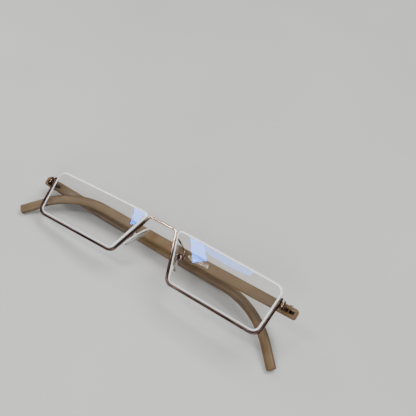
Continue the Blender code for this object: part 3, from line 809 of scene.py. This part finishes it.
def power_mark():
    """Flat letters: x runs back along the arm, y up it, and the ink follows the bow."""
    words = bpy.data.curves.new("power_mark", "FONT")
    words.body, words.size, words.resolution_u = "+2.00 52-15", MARK_HIGH / CAP_PART, 3
    holder = bpy.data.objects.new("power_mark_text", words)
    bpy.context.scene.collection.objects.link(holder)
    bpy.context.view_layer.update()
    mesh = bpy.data.meshes.new_from_object(holder)
    bpy.data.objects.remove(holder)
    flat = np.zeros(len(mesh.vertices) * 3)
    mesh.vertices.foreach_get("co", flat)
    x, y = flat.reshape(-1, 3)[:, :2].T
    u = MARK_AT + x.max() - x
    ink = np.column_stack((u, y - MARK_HIGH / 2, arm_bow(u) - ARM_THICK - INK))
    mesh.vertices.foreach_set("co", lay(arm_place(ink, 1)).ravel())
    shape = bmesh.new()
    shape.from_mesh(mesh)
    bmesh.ops.remove_doubles(shape, verts=shape.verts, dist=1e-7)
    shape.to_mesh(mesh)
    shape.free()
    return mesh


print_white, tree, shader = finish("white_print", (0.80, 0.79, 0.75), Roughness=0.5)
wear = noise(tree, 2200, 3)
tree.links.new(ramp(tree, wear, [(0.35, (0.55, 0.50, 0.42)), (0.55, (0.84, 0.83, 0.79))]),
               shader.inputs["Base Color"])
mark_mesh = power_mark()
mark_mesh.materials.clear()
mark_mesh.materials.append(print_white)
mark = bpy.data.objects.new("left_arm_power_mark", mark_mesh)
bpy.context.scene.collection.objects.link(mark)
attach(mark, "left_arm")
print("power mark points:", len(mark_mesh.vertices))

# %% [markdown]
# ## Hinge screws and pad screws
# A screw is a turned shaft with a low domed head.  The driver slot comes from leaving a
# gap between two half heads that stand on a thin full disc.

# %% Screws
def half_heads(radius, low, high, gap):
    """Two half discs with rounded rims: arcs from one end of the slot to the other."""
    start = math.asin(gap / radius)
    shells = []
    for sign in (1, -1):
        rings = []
        for shrink, rise in ((1, low), (1, low + 0.45 * (high - low)),
                             (0.93, low + 0.78 * (high - low)), (0.75, high)):
            angle = np.linspace(start, np.pi - start, 22)
            arc = radius * shrink * np.column_stack((np.cos(angle), np.sin(angle)))
            arc[:, 1] = np.maximum(arc[:, 1], gap)
            rings.append(np.column_stack((arc * sign, np.full(22, rise))))
        shells.append(skin(np.array(rings)))
    return shells


def screw(shaft, head, low, seat, top, gap):
    """Shaft from low to seat, then the head's disc and its two halves up to top."""
    disc = seat + 0.45 * (top - seat)
    shells = [turned_rod([(shaft * 0.7, low), (shaft, low + 0.1), (shaft, seat)]),
              turned_rod([(head * 0.94, seat), (head, seat + 0.04), (head, disc)])]
    return shells + half_heads(head, disc, top, gap)


def move_shells(shells, place):
    """Applies a function of points to every shell."""
    for shell in shells:
        shell["verts"] = place(shell["verts"])
    return shells


for side, word in ((1, "left"), (-1, "right")):
    shells = move_shells(
        screw(shaft=0.41, head=0.85, low=-2.25, seat=2.55, top=3.05, gap=0.14),
        lambda p: arm_place(p @ UPRIGHT, side))
    build(f"{word}_hinge_screw_skin", shells, [steel], f"{word}_arm", 35)

# %% [markdown]
# ## Nose pads, their boxes and wires
# A bent wire leaves the back of each rim and ends on a small box, a strip folded into a U.
# A screw through the box carries the lug of a metal insert, and on its foot sits an oval
# cushion of clear silicone, domed on the side that touches the nose.

# %% Nose pad frame
PAD_MID = np.array((10.75, -2.75, -4.5))
PAD_DOWN = unit((6.1, -11.9, 2.0))
PAD_OUT = np.array((0.98, 0.30, 0.14))
PAD_OUT = unit(PAD_OUT - PAD_DOWN * (PAD_OUT @ PAD_DOWN))
PAD_TURN = np.array((PAD_DOWN, np.cross(PAD_OUT, PAD_DOWN), PAD_OUT))
BOX_UP = 2.5


def pad_place(points, side):
    """From the pad's frame (down, across, away from the nose) to the worn frame."""
    return (points @ PAD_TURN + PAD_MID) * (side, 1, 1)


print("pad's long way, in the worn frame:", np.round(PAD_DOWN, 2))

# %% [markdown]
# ## The cushions
# A nose pad is one solid, soft oval of silicone, so it is modelled directly as a closed
# dome: rings from pole to pole whose inset and height both follow a superellipse.  A
# whiter, cloudier band round the rim, picked out by height, is a painted highlight.

# %% Nose pads
PAD_LONG, PAD_WIDE, PAD_THICK, HIGHLIGHT_BAND = 6.7, 2.75, 0.85, 0.27     # half sizes
EDGE_POWER, DOME_POWER, NOSE_SIDE, END_TAPER = 2.4, 2.2, 0.92, 3.4


def cushion(count=48):
    """Oval rings; their inset and height follow a superellipse from pole to pole."""
    angle = np.arange(count) * 2 * np.pi / count
    turn = np.linspace(-np.pi / 2, np.pi / 2, 27)
    reach = np.cos(turn) ** (2 / EDGE_POWER)
    height = np.sign(turn) * np.abs(np.sin(turn)) ** (2 / DOME_POWER) * PAD_THICK
    height = np.where(height < 0, height, height * NOSE_SIDE)
    inset = (1 - reach) * PAD_WIDE
    a = np.where(reach > 1e-6, PAD_LONG - inset - END_TAPER * (1 - reach) ** 3, 0)
    b = PAD_WIDE - inset
    return np.stack((a[:, None] * np.cos(angle), b[:, None] * np.sin(angle),
                     height[:, None] + 0 * angle), -1)


for side, word in ((1, "left"), (-1, "right")):
    shell = skin(cushion())
    height = shell["verts"][:, 2]
    face_height = np.array([height[list(face)].mean() for face in shell["faces"]])
    # faces near the rim take the whiter silicone, a painted highlight
    shell["mats"] = (np.abs(face_height) < HIGHLIGHT_BAND).astype(int)
    pad = build(f"{word}_nose_pad_skin", move_shells([shell], lambda p: pad_place(p, side)),
                [silicone, silicone_rim_painted_highlight], f"{word}_pad", 60)

# %% [markdown]
# ## The inserts
# Silicone alone would tear off its screw, so a small plated foot is moulded in behind the
# cushion, and a lug stands up from it into the box.  Both are soft-edged blocks.

# %% Pad inserts
LUG_LOW, LUG_TOP = 1.2, BOX_UP + 0.5
for side, word in ((1, "left"), (-1, "right")):
    foot = block((0, 0, 1.145), half_size=(1.5, 0.8, 0.175), corner=0.3, soft=0.05)
    lug = block((0, 0, (LUG_LOW + LUG_TOP) / 2), half_size=(0.7, 0.4, (LUG_TOP - LUG_LOW) / 2),
                corner=0.1, soft=0.08)
    build(f"{word}_pad_insert_skin", move_shells([foot, lug], lambda p: pad_place(p, side)),
          [steel], f"{word}_pad", 40)

# %% [markdown]
# ## The boxes
# The box is a strip of metal folded into a U that straddles the lug.  Its outline is one
# closed line with rounded corners, raised along the third way, with the cut edges eased.

# %% Pad boxes
def folded_strip(half_out, half_in, top, low, roof):
    """Outline of a strip folded into a U, drawn with rounded outer corners."""
    corners = ((-half_out, low), (-half_out, top), (half_out, top), (half_out, low),
               (half_in, low), (half_in, top - roof), (-half_in, top - roof), (-half_in, low))
    return rounded(corners, (0.1, 0.5, 0.5, 0.1, 0.1, 0.12, 0.12, 0.1), True, 6, 2)


BOX_HALF = 1.0
for side, word in ((1, "left"), (-1, "right")):
    outline = folded_strip(half_out=1.35, half_in=0.6, top=BOX_UP + BOX_HALF,
                           low=BOX_UP - BOX_HALF, roof=0.35)
    middle = np.array((0, BOX_UP))
    rings = [np.column_stack((np.full(len(outline), x), middle + (outline - middle) * k))
             for x, k in ((-1.1, 0.96), (-1.04, 1), (1.04, 1), (1.1, 0.96))]
    build(f"{word}_pad_box_skin", move_shells([skin(np.array(rings))],
                                              lambda p: pad_place(p, side)),
          [bare_copper], "front", 40)

# %% [markdown]
# ## The pad screws
# The same screw as at the hinges, only smaller and laid across the box, so the pad can rock
# on it.  A change of axes is a matrix whose rows say where each axis goes.

# %% Pad screws
ACROSS = np.array(((0, 0, 1), (1, 0, 0), (0, 1, 0)))
for side, word in ((1, "left"), (-1, "right")):
    shells = move_shells(
        screw(shaft=0.25, head=0.55, low=-1.35, seat=1.47, top=1.85, gap=0.09),
        lambda p: pad_place(p @ ACROSS + (0, 0, BOX_UP), side))
    build(f"{word}_pad_screw_skin", shells, [steel], "front", 35)

# %% [markdown]
# ## The pad wires
# An optician bends these wires to fit the nose, so no two curves are quite alike.  A few
# knots say where the wire must pass, and a smooth curve is drawn through them; the wire
# swells a little where solder joins it to the rim.

# %% Pad wires
def through(knots, steps=14):
    """Catmull-Rom curve: each span is a cubic of its four nearest knots."""
    k = np.vstack((2 * knots[0] - knots[1], knots, 2 * knots[-1] - knots[-2]))
    p0, p1, p2, p3 = (k[i:len(k) - 3 + i, None] for i in range(4))
    t = np.linspace(0, 1, steps, endpoint=False)[None, :, None]
    curve = 0.5 * (2 * p1 + (p2 - p0) * t + (2 * p0 - 5 * p1 + 4 * p2 - p3) * t ** 2
                   + (3 * p1 - p0 - 3 * p2 + p3) * t ** 3)
    return np.vstack((curve.reshape(-1, 3), knots[-1:]))


WIRE_R, SWELL = 0.42, 0.45
for side, word in ((1, "left"), (-1, "right")):
    top = pad_place(np.array((-0.2, 0, BOX_UP + BOX_HALF + WIRE_R + 0.15)), 1)
    knots = np.array(((9.15, 4.6, -0.1), (9.7, 4.3, -2.0), (11.0, 3.2, -3.5),
                      top - PAD_DOWN * 2.4 + (0.1, 0, 0.1), top, top + PAD_DOWN * 0.9))
    path, travel = even(through(knots), 0.18, 0.25)
    swell = 1 + SWELL * np.exp(-((travel - 0.5) / 0.6) ** 2)
    thick = WIRE_R * rounded_ends(travel, 0.25) * swell
    path[:, 0] *= side
    wire = skin(carry(path, oval(16, thick, thick), (0.3, 0.2, 1)))
    build(f"{word}_pad_wire_skin", [wire], [bare_copper], "front", 60)

# %% [markdown]
# ## Table
# A plain pale table.  Its tone drifts slowly over hand widths, and a fine tooth keeps it
# from mirroring the lamps.

# %% Table
REACH = 3


def pale_floor():
    """A flat square, REACH metres each way, with a slow tone change and a fine tooth."""
    mesh = bpy.data.meshes.new("table_top")
    mesh.from_pydata([(-REACH, -REACH, 0), (REACH, -REACH, 0), (REACH, REACH, 0),
                      (-REACH, REACH, 0)], [], [(0, 1, 2, 3)])
    mat, tree, shader = finish("pale_table", (0.44, 0.435, 0.425), Roughness=0.6)
    tones = ramp(tree, noise(tree, 9, 3),
                 [(0.3, (0.42, 0.415, 0.405)), (0.7, (0.46, 0.455, 0.445))])
    tree.links.new(tones, shader.inputs["Base Color"])
    bump(tree, shader, noise(tree, 1800, 2), 0.00001, 0.3)
    mesh.materials.append(mat)
    floor = bpy.data.objects.new("table_top", mesh)
    bpy.context.scene.collection.objects.link(floor)
    return floor


pale_floor()
print("the table reaches, m:", REACH)

# %% [markdown]
# ## Lamps
# Three softboxes give plain, soft light.  Two small panes hang where the coated lenses
# mirror them, so each lens shows the blue patch that such a coating throws back from a
# window; being small and weak, they add little to the light.  An even surround fills the
# shadows.

# %% Lamps
def softbox(name, place, target, size, power, level=0.0):
    """Rectangular area lamp at place, facing target, its sides turned by level degrees."""
    data = bpy.data.lights.new(name, "AREA")
    data.shape, data.size, data.size_y = "RECTANGLE", *size
    data.energy = power
    lamp = bpy.data.objects.new(name, data)
    bpy.context.scene.collection.objects.link(lamp)
    back = unit(np.subtract(place, target))
    right = unit(np.cross((0, 1, 0.001), back))
    up = np.cross(back, right)
    c, s = np.cos(np.radians(level)), np.sin(np.radians(level))
    lamp.matrix_world = turned(place, c * right + s * up, c * up - s * right, back)


def pane(name, x, y, size, power, level=0.0):
    """A small window pane overhead, facing straight down."""
    softbox(name, (x, y, PANE_HIGH), (x, y, 0), size, power, level)


PANE_HIGH = 0.6
softbox("overhead_softbox", (0.25, 0.55, 1.1), (0, 0, 0), (0.9, 0.6), 18)
softbox("side_softbox", (-0.9, 0.3, 0.7), (0, 0, 0), (0.5, 0.5), 5.5)
softbox("front_softbox", (0.25, -0.75, 0.5), (0, 0, 0), (0.6, 0.25), 7)
pane("near_window_pane", -0.2987, -0.1559, (0.075, 0.11), 1.1, 30.8)
pane("far_window_pane", -0.162, -0.133, (0.20, 0.042), 0.5)
world = bpy.data.worlds.new("dim_surround")
world.use_nodes = True
surround = world.node_tree.nodes["Background"].inputs
surround["Color"].default_value = (0.66, 0.66, 0.67, 1)
surround["Strength"].default_value = 0.24
bpy.context.scene.world = world
